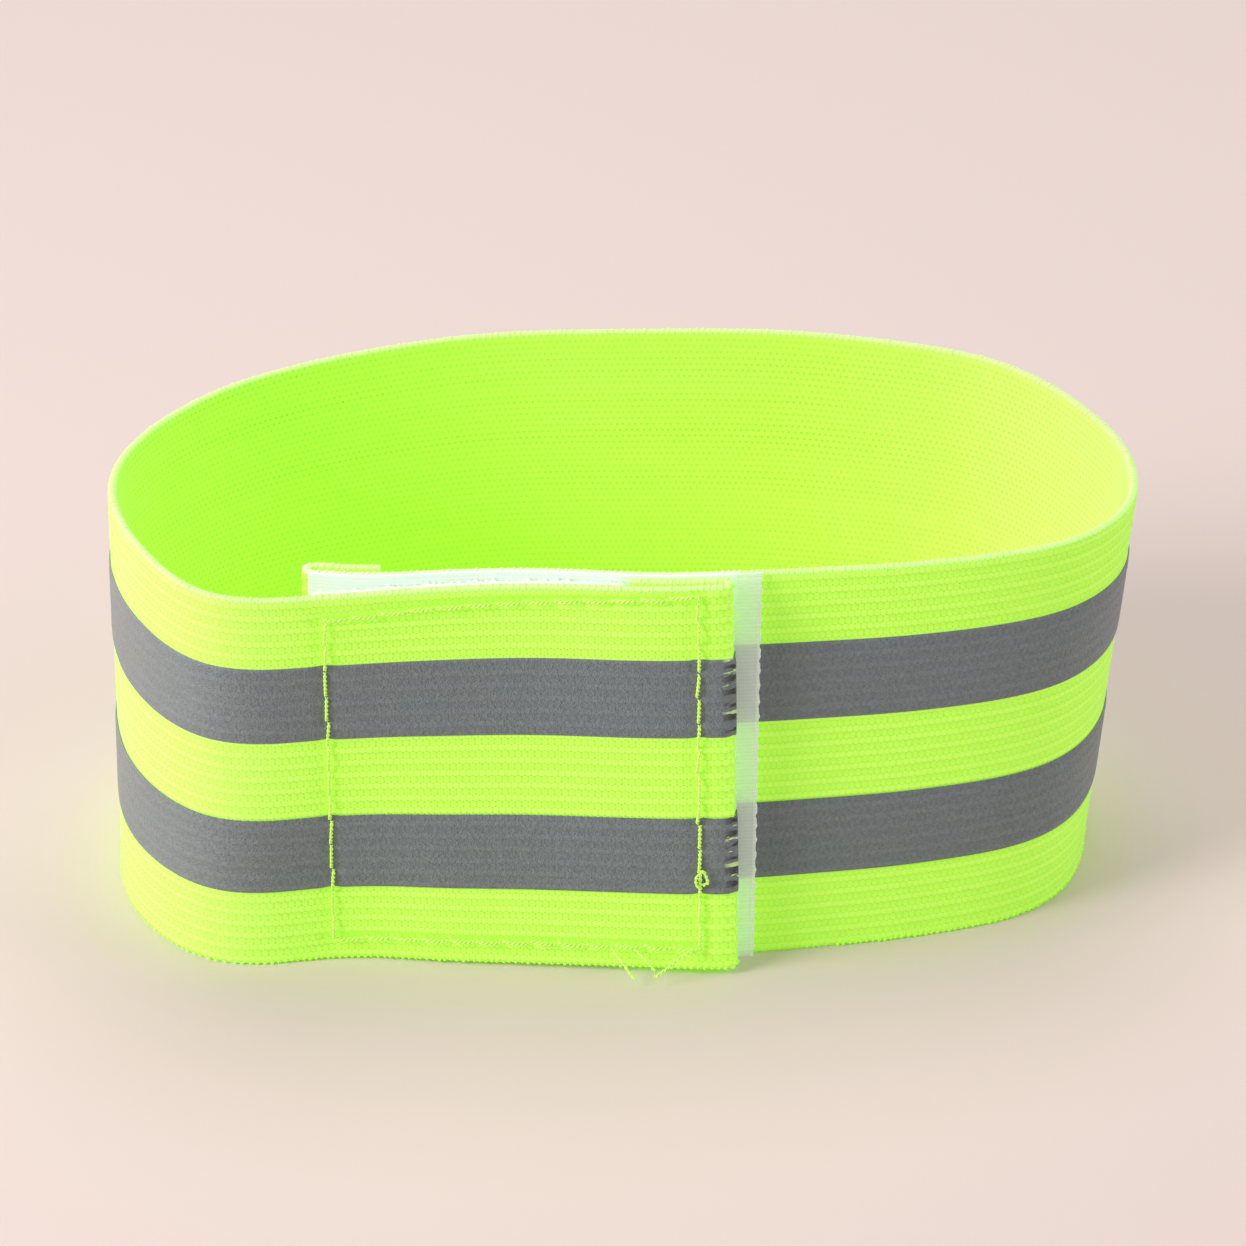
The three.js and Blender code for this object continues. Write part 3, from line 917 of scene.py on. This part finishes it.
# %% [markdown]
# ## Loop tape
# The soft half of the closure is a white tape with a brushed pile. Its woven base is a thin slab, and
# the pile is a few thousand small arches of yarn, each moved a little at random so that no rows show.

# %% Loop tape and its pile
LOOP_FACE = -HALF_WEB - SKIN_GAP
LOOP_TAPE_MARGIN = 0.2 * MM
SLAB_END = 1.5 * MM
SLAB_STEP = 1.2 * MM


def slab(name, along, out, height, bevel):
    """A thin box with softened edges, cut into short lengths."""
    start_clean()
    bpy.ops.mesh.primitive_cube_add(size=1)
    piece = bpy.context.object
    piece.scale = (along[1] - along[0], out[1] - out[0], height[1] - height[0])
    piece.location = ((along[0] + along[1]) / 2, (out[0] + out[1]) / 2, (height[0] + height[1]) / 2)
    settle(piece, name)
    soften = piece.modifiers.new("soften", "BEVEL")
    soften.width = bevel
    soften.segments = 2
    bpy.ops.object.modifier_apply(modifier=soften.name)
    cut_across(piece, 0, np.arange(along[0] + SLAB_END, along[1] - SLAB_END, SLAB_STEP))
    return piece


def make_pile_material():
    # The small emission is painted light: it lifts the shade between the arches.
    material, tree, shader = new_material(
        "white_loop_pile", 0.95, Sheen_Weight=0.5, Emission_Strength=0.1
    )
    flat = flat_places(tree)
    tone = noise_node(tree, flat, 1.4, 4)
    colour = ramp_node(tree, tone, [(0.3, (0.74, 0.86, 0.68)), (0.7, (0.88, 0.95, 0.83))])
    tree.links.new(colour, shader.inputs["Base Color"])
    bump(tree, shader, noise_node(tree, flat, 6, 3), 0.1 * MM)
    return material


pile_white = make_pile_material()
loop_base = slab(
    "loop_tape_base",
    LOOP_TAPE,
    (LOOP_FACE - TAPE_BASE, LOOP_FACE),
    (LOOP_TAPE_MARGIN, WEB_HEIGHT - LOOP_TAPE_MARGIN),
    bevel=0.15 * MM,
)
hang(loop_base, pile_white, "outer_tab", "loop_tape", degrees=45)


# %% The pile's arches
def rows_of_yarn(name, unit, along, height, pitch, out, spread, seed):
    """Fills a field of the flat strip with copies of a small yarn shape."""
    across = int((along[1] - along[0]) / pitch[0])
    upward = int((height[1] - height[0]) / pitch[1])
    in_rows(unit, (across, 1, upward), (pitch[0], 0, pitch[1]))
    jitter_copies(unit, across * upward, spread, seed)
    points = read_points(unit)
    write_points(unit, points + np.array([along[0] + pitch[0] / 2, out, height[0] + pitch[1] / 2]))
    return settle(unit, name)


def pile_arch():
    start_clean()
    bpy.ops.mesh.primitive_torus_add(
        major_radius=0.36 * MM, minor_radius=0.1 * MM, major_segments=10, minor_segments=4,
        rotation=(0, 0, 0.6),
    )
    bpy.ops.object.transform_apply(rotation=True)
    bpy.ops.object.mode_set(mode="EDIT")
    bpy.ops.mesh.select_all(action="SELECT")
    bpy.ops.transform.resize(value=(1, 4.2, 1))
    bpy.ops.mesh.bisect(plane_co=(0, 0.02 * MM, 0), plane_no=(0, 1, 0), clear_outer=True)
    bpy.ops.object.mode_set(mode="OBJECT")
    return bpy.context.object


edge_free = 0.3 * MM
pile_field = rows_of_yarn(
    "loop_tape_pile",
    pile_arch(),
    along=(LOOP_TAPE[0] + edge_free, LOOP_TAPE[1] - edge_free),
    height=(edge_free, WEB_HEIGHT - edge_free),
    pitch=(0.67 * MM, 0.69 * MM),
    out=LOOP_FACE - TAPE_BASE,
    spread=(0.14 * MM, 0.05 * MM, 0.14 * MM),
    seed=5,
)
hang(pile_field, pile_white, "outer_tab")

# %% [markdown]
# ## Hook tape
# The stiff half is one moulding of milky plastic: a thin sheet with rows of tiny hooks. It is a little
# clear, so the grey stripes show through where it peeps out beside the tab. Fine ribs run across the
# sheet.

# %% Hook tape
HOOK_FOOT = HALF_WEB + SKIN_GAP + FILM_THICKNESS + SKIN_GAP
HOOK_BASE = 0.6 * TAPE_BASE
HOOK_FACE = HOOK_FOOT + HOOK_BASE
HOOK_RIB = 0.45 * MM
HOOKS_INSET = (3.6 * MM, 3.4 * MM)
# The tape's emission is painted light: a faint glow all over, and more in the slot behind the tab.
GLOW_IN_LIGHT = (0.115, 0.13, 0.1)
GLOW_IN_SLOT = (0.14, 0.2, 0.14)
SLOT_FOOT_MM = 45.5


def make_moulded():
    material, tree, shader = new_material(
        "milky_hook_tape", 0.38, Specular_IOR_Level=0.5, Emission_Strength=1.0
    )
    flat = flat_places(tree)
    along, _, height = axes_of(tree, flat)
    ribs = math_node(tree, "SINE", times(tree, height, 2 * math.pi / (HOOK_RIB / MM)))
    tone = scaled_sum(tree, ribs, 0.25, 0.5)
    colour = ramp_node(tree, tone, [(0.2, (0.8, 0.88, 0.84)), (0.8, (0.94, 0.98, 0.96))])
    tree.links.new(colour, shader.inputs["Base Color"])

    # The cut edge is milkier. The top of the tape in the slot behind the tab is made more opaque and
    # glows more: a painted highlight where the light from above falls into the slot.
    edge_of_tape = math_node(tree, "SUBTRACT", HOOK_TAPE[0] / MM + 0.5, along, clamp=True)
    near_top = times(tree, math_node(tree, "SUBTRACT", height, SLOT_FOOT_MM), 0.5, clamp=True)
    behind_tab = math_node(tree, "SUBTRACT", along, (HOOK_TAPE[0] + HOOK_TAPE_SHOWS) / MM, clamp=True)
    slot_highlight = times(tree, near_top, behind_tab)
    alpha = scaled_sum(tree, edge_of_tape, 0.6, 0.54, clamp=True)
    alpha = math_node(tree, "ADD", alpha, times(tree, slot_highlight, 0.4), clamp=True)
    tree.links.new(alpha, shader.inputs["Alpha"])
    glow = mix_colour(tree, slot_highlight, GLOW_IN_LIGHT, GLOW_IN_SLOT)
    tree.links.new(glow, shader.inputs["Emission Color"])
    relief = math_node(tree, "ADD", tone, times(tree, noise_node(tree, flat, 0.8, 2), 0.6))
    bump(tree, shader, relief, 0.05 * MM)
    return material


milky = make_moulded()
hook_base = slab(
    "hook_tape_base", HOOK_TAPE, (HOOK_FOOT, HOOK_FACE), (0, WEB_HEIGHT + HOOK_TAPE_RISE), bevel=0.1 * MM
)
cut_across(hook_base, 2, np.arange(0.4 * MM, WEB_HEIGHT, HOOK_RIB))

# The free edge is a little worn, so it waves.
points = read_points(hook_base)
worn = 0.09 * np.sin(points[:, 2] / MM * 3.1) + 0.06 * np.sin(points[:, 2] / MM * 7.4 + 1)
points[:, 0] += np.where(points[:, 0] < HOOK_TAPE[0] + 0.3 * MM, worn * MM, 0)
write_points(hook_base, points)
hang(hook_base, milky, "inner_tab", "hook_tape", degrees=45)


def one_hook():
    """A stem that bends over at its head, cut from a small torus."""
    start_clean()
    bpy.ops.mesh.primitive_torus_add(
        major_radius=0.17 * MM, minor_radius=0.06 * MM, major_segments=10, minor_segments=4
    )
    bpy.ops.object.mode_set(mode="EDIT")
    bpy.ops.mesh.select_all(action="SELECT")
    bpy.ops.mesh.bisect(plane_co=(0.12 * MM, -0.02 * MM, 0), plane_no=(0.5, -1, 0), clear_outer=True)
    bpy.ops.mesh.select_all(action="SELECT")
    bpy.ops.transform.resize(value=(1, 1.9, 1))
    bpy.ops.object.mode_set(mode="OBJECT")
    return bpy.context.object


hook_field = rows_of_yarn(
    "hook_tape_hooks",
    one_hook(),
    along=(HOOK_TAPE[0] + HOOKS_INSET[0], HOOK_TAPE[1] - HOOKS_INSET[0]),
    height=(HOOKS_INSET[1], WEB_HEIGHT - HOOKS_INSET[1]),
    pitch=(0.95 * MM, 0.9 * MM),
    out=HOOK_FACE + 0.15 * MM,
    spread=(0.01 * MM, 0.0, 0.01 * MM),
    seed=6,
)
hang(hook_field, milky, "inner_tab")

# %% [markdown]
# ## Stitches
# The thread is two strands twisted together. Each stitch comes up through a hole, lies on the face and
# goes down again, so it is an arch. One stitch is modelled with its twist, and each copy on the seam
# gets its own slight slant, because the needle never falls quite in line.


# %% Thread material
def make_thread_material():
    material, tree, shader = new_material(
        "yellow_green_thread", 0.55, Sheen_Weight=0.3, Emission_Strength=0.18
    )
    flat = flat_places(tree)
    tone = noise_node(tree, flat, 3, 3)
    colour = ramp_node(tree, tone, [(0.3, (0.66, 0.93, 0.12)), (0.7, (0.85, 0.98, 0.3))])
    tree.links.new(colour, shader.inputs["Base Color"])
    shader.inputs["Emission Color"].default_value = (*YARN_GLOW, 1)
    bump(tree, shader, noise_node(tree, flat, 14, 2), 0.04 * MM)
    return material


thread_finish = make_thread_material()


# %% Twisted cord along any route
STRAND_SHARE = 0.27
CORD_STEP = 0.12 * MM
TWIST_PITCH = 1.1 * MM
# No thread here runs along this direction, so a strand's sideways direction is always clear.
ASKEW = (0.13, 0.97, 0.21)


def twisted_cord(name, route, twist_pitch=TWIST_PITCH, thickness=THREAD):
    """Two strands that turn round each other along a route of points."""
    route = np.array(route, float)
    lengths = np.concatenate([[0], np.cumsum(np.linalg.norm(np.diff(route, axis=0), axis=1))])
    steps = max(8, int(lengths[-1] / CORD_STEP))
    at = np.linspace(0, lengths[-1], steps + 1)
    line = np.stack([np.interp(at, lengths, route[:, k]) for k in range(3)], axis=1)
    ahead = np.gradient(line, axis=0)
    ahead /= np.linalg.norm(ahead, axis=1, keepdims=True)
    side = np.cross(ahead, ASKEW)
    side /= np.linalg.norm(side, axis=1, keepdims=True)
    over = np.cross(side, ahead)
    strands = []
    for strand in range(2):
        start_clean()
        bpy.ops.mesh.primitive_cylinder_add(vertices=6, radius=1, depth=1, end_fill_type="TRIFAN")
        piece = bpy.context.object
        cut_across(piece, 2, np.linspace(-0.5, 0.5, steps + 1)[1:-1])
        raw = read_points(piece)
        ring = np.clip(np.rint((raw[:, 2] + 0.5) * steps).astype(int), 0, steps)
        turn = 2 * math.pi * at[ring] / twist_pitch + math.pi * strand
        to_side = np.cos(turn) + raw[:, 0]
        to_over = np.sin(turn) + raw[:, 1]
        spread = to_side[:, None] * side[ring] + to_over[:, None] * over[ring]
        write_points(piece, line[ring] + STRAND_SHARE * thickness * spread)
        strands.append(piece)
    return joined(strands, name)


# %% Sewing
STITCH_RISE = 0.42 * MM
STITCH_DIP = 0.2 * MM


def one_stitch():
    """A stitch along X, from hole to hole, rising to the thread's height in the middle."""
    share = np.linspace(0, 1, 25)
    rise = STITCH_RISE * np.sin(math.pi * share) ** 0.45
    return np.column_stack([share * STITCH * 0.9, rise - STITCH_DIP, np.zeros_like(share)])


stitch_master = twisted_cord("stitch", one_stitch())
stitch_points = read_points(stitch_master)


def sew(seam, body, rows, face, seed, thread_out=1):
    """Sets copies of the stitch along rows, each row from one flat place to another on a face."""
    draw = np.random.default_rng(seed)
    copies = []
    for start, stop in rows:
        start, stop = np.array(start), np.array(stop)
        length = np.linalg.norm(stop - start)
        way = (stop - start) / length
        count = max(1, round(length / STITCH))
        for i in range(count):
            slant = draw.normal(0.05, 0.035)
            ahead, aside = math.cos(slant), math.sin(slant)
            turned = np.array([[ahead, -aside], [aside, ahead]])
            along_up = stitch_points[:, [0, 2]] @ turned.T * (length / count / STITCH)
            along, up = along_up[:, 0] + length * i / count, along_up[:, 1]
            flat = start + along[:, None] * way + up[:, None] * np.array([-way[1], way[0]])
            out = face + thread_out * stitch_points[:, 1] * draw.uniform(0.9, 1.1)
            copies.append(np.column_stack([flat[:, 0], out, flat[:, 1]]))
    pick(stitch_master)
    bpy.ops.object.duplicate()
    piece = in_rows(bpy.context.object, (len(copies), 1, 1), (STITCH, 0, 0))
    write_points(piece, np.concatenate(copies))
    if thread_out < 0:
        piece.data.flip_normals()
    settle(piece, f"{seam}_stitches")
    hang(piece, thread_finish, body, f"{seam}_thread")


def box_rows(along, height, rise=0):
    """The four rows of a box seam, the first upper corner lifted by a rise."""
    (start, stop), (foot, head) = along, height
    corners = [(start, foot), (stop, foot), (stop, head), (start, head + rise)]
    return [(corners[i], corners[(i + 1) % 4]) for i in range(4)]


# %% The two box seams, with the threads of both faces
HEM_MARGIN = 1.3 * MM
NEEDLE_SINK = 0.12 * MM
film_face = HALF_WEB + SKIN_GAP / 2 + FILM_THICKNESS
tab_height = (TAB_SEAM["foot"], TAB_SEAM["head"])
tab_rows = box_rows((TAB_SEAM["from"], TAB_SEAM["to"]), tab_height, TAB_SEAM_RISE)
sew("tab_seam_needle", "outer_tab", tab_rows, film_face - NEEDLE_SINK, seed=11)

tape_start = LOOP_TAPE[0] + HEM_MARGIN
tape_rise = seam_head(tape_start) - TAB_SEAM["head"]
tape_rows = box_rows((tape_start, TAB_SEAM["to"]), tab_height, tape_rise)
sew("tab_seam_bobbin", "outer_tab", tape_rows, LOOP_FACE - TAPE_BASE, seed=12, thread_out=-1)

hook_span = (HOOK_TAPE[0] + HOOK_SEAM_MARGIN, HOOK_TAPE[1] - HOOK_SEAM_MARGIN)
hook_height = (HOOK_SEAM_MARGIN, WEB_HEIGHT - HOOK_SEAM_MARGIN)
sew("hook_seam_needle", "inner_tab", box_rows(hook_span, hook_height), HOOK_FACE, seed=13)

# This seam's bobbin thread is two pieces: one on the webbing, and one on the hem folded over it.
hem_edge = STRIP_END - INNER_HEM_LENGTH
web_rows = box_rows((hook_span[0], hem_edge - HEM_MARGIN), hook_height)[:3]
sew("hook_seam_bobbin", "inner_tab", web_rows, -HALF_WEB, seed=14, thread_out=-1)
hem_rows = box_rows((hem_edge + HEM_MARGIN, hook_span[1]), hook_height)[:3]
hem_face = 2 * hem_plane(INNER_HEM_GAP) - film_face
sew("hem_seam_bobbin", "inner_tab", hem_rows, hem_face, seed=15, thread_out=-1)
bpy.data.objects.remove(stitch_master)
print("seams sewn")

# %% [markdown]
# ## Loose thread ends
# Where the seam starts and stops, the machine leaves short ends of thread at the bottom of the tab, and
# one slack stitch stands off the fold side as a tiny loop. Each is a twisted cord along its own short
# route.

# %% Thread ends and the slack stitch
THREAD_ENDS = {
    "left": [(14.6, 0.0, 2.9), (14.2, 0.7, 2.7), (13.4, 1.5, 2.1), (12.6, 2.2, 1.2), (11.8, 2.7, 0.5)],
    "middle": [(11.9, 0.0, 2.9), (11.4, 0.4, 2.6), (10.8, 0.8, 2.2), (10.2, 1.2, 1.6), (9.6, 1.5, 1.0)],
    "right": [(4.8, 0.0, 3.0), (5.6, 0.6, 3.1), (7.0, 1.2, 2.5), (8.4, 1.9, 1.5), (9.7, 2.4, 0.6)],
}
on_tab = film_face + THREAD / 2


def in_metres(places, face=0):
    """A route from places in millimetres: along the strip, out from a face, and height."""
    return [(along * MM, face + out * MM, height * MM) for along, out, height in places]


for side, places in THREAD_ENDS.items():
    end = twisted_cord(f"loose_end_{side}", in_metres(places, on_tab), 1.2 * MM, 0.8 * THREAD)
    hang(end, thread_finish, "outer_tab", f"thread_end_{side}")

turns = np.linspace(0.1, 2 * math.pi - 0.1, 30)
slack_route = np.column_stack([
    TAB_SEAM["from"] - 0.15 * MM + (0.62 * np.sin(turns) + 0.14 * np.sin(2 * turns)) * MM,
    on_tab + 0.35 * MM * np.sin(turns / 2),
    12.7 * MM - (1.05 * np.cos(turns) + 0.2 * np.sin(3 * turns)) * MM,
])
slack = twisted_cord("slack_stitch_loop", slack_route, thickness=0.85 * THREAD)
hang(slack, thread_finish, "outer_tab", "thread_slack_loop")

# %% Stray fibres at the fold
FIBRES = [
    [(0.4, 0.7, 45.6), (-0.5, 1.2, 45.0), (-1.1, 1.1, 43.9), (-0.9, 0.8, 42.6), (-0.2, 0.6, 41.8)],
    [(0.3, 0.7, 43.8), (-0.6, 1.1, 44.2), (-1.0, 1.3, 45.2), (-0.7, 1.4, 46.1)],
    [(0.2, 0.6, 40.2), (-0.4, 0.9, 39.4), (-0.8, 0.9, 38.2)],
    [(0.3, 0.7, 6.2), (-0.4, 1.1, 5.4), (-0.6, 1.2, 4.2)],
]
fibres = [
    twisted_cord(f"fibre_{i}", in_metres(places), 0.7 * MM, 0.12 * MM) for i, places in enumerate(FIBRES)
]
hang(joined(fibres, "stray_fibres"), thread_finish, "outer_tab")

# %% [markdown]
# ## Floor, light and camera
# The band stands on a plain pale floor. A soft light on the left does most of the work, a weaker one on
# the right and one overhead fill the shadows, and the white world lights the rest evenly.

# %% Floor
start_clean()
bpy.ops.mesh.primitive_plane_add(size=3.0, location=(0, 0.4, 0))
floor = bpy.context.object
floor.name = "floor"
floor_finish, _, floor_shader = new_material("pale_floor", 0.7)
floor_shader.inputs["Base Color"].default_value = (0.83, 0.68, 0.64, 1)
floor.data.materials.append(floor_finish)


# %% Lights
def soft_light(name, place, target, size, power):
    data = bpy.data.lights.new(name, "AREA")
    data.shape = "DISK"
    data.size = size
    data.energy = power
    light = bpy.data.objects.new(name, data)
    bpy.context.scene.collection.objects.link(light)
    light.location = place
    light.rotation_euler = (Vector(target) - Vector(place)).to_track_quat("-Z", "Y").to_euler()


soft_light("left_softbox", (-0.8, -0.4, 0.5), (0, 0, 0.02), size=0.5, power=7.3)
soft_light("right_softbox", (0.85, 0.0, 0.45), (0, 0, 0.02), size=0.5, power=1.5)
soft_light("overhead", (0.0, 0.4, 0.9), (0, 0.1, 0), size=0.7, power=3.6)
world = bpy.data.worlds.new("studio")
bpy.context.scene.world = world
world.use_nodes = True
background = world.node_tree.nodes["Background"]
background.inputs["Color"].default_value = (1, 1, 1, 1)
background.inputs["Strength"].default_value = 0.35
bpy.context.scene.view_settings.view_transform = "Standard"

# %% Camera
CAMERA_PLACE = (0.02494, -0.48743, 0.31275)
CAMERA_PAN, CAMERA_PITCH, CAMERA_ROLL = 2.82, 30.22, 1.05
CAMERA_LENS = 130.15
camera_data = bpy.data.cameras.new("camera")
camera_data.sensor_width = 36
camera_data.lens = CAMERA_LENS
camera_data.clip_start = 0.01
camera = bpy.data.objects.new("camera", camera_data)
bpy.context.scene.collection.objects.link(camera)
camera.matrix_world = (
    Matrix.Translation(CAMERA_PLACE)
    @ Matrix.Rotation(math.radians(CAMERA_PAN), 4, "Z")
    @ Matrix.Rotation(math.radians(90 - CAMERA_PITCH), 4, "X")
    @ Matrix.Rotation(math.radians(CAMERA_ROLL), 4, "Z")
)
bpy.context.scene.camera = camera
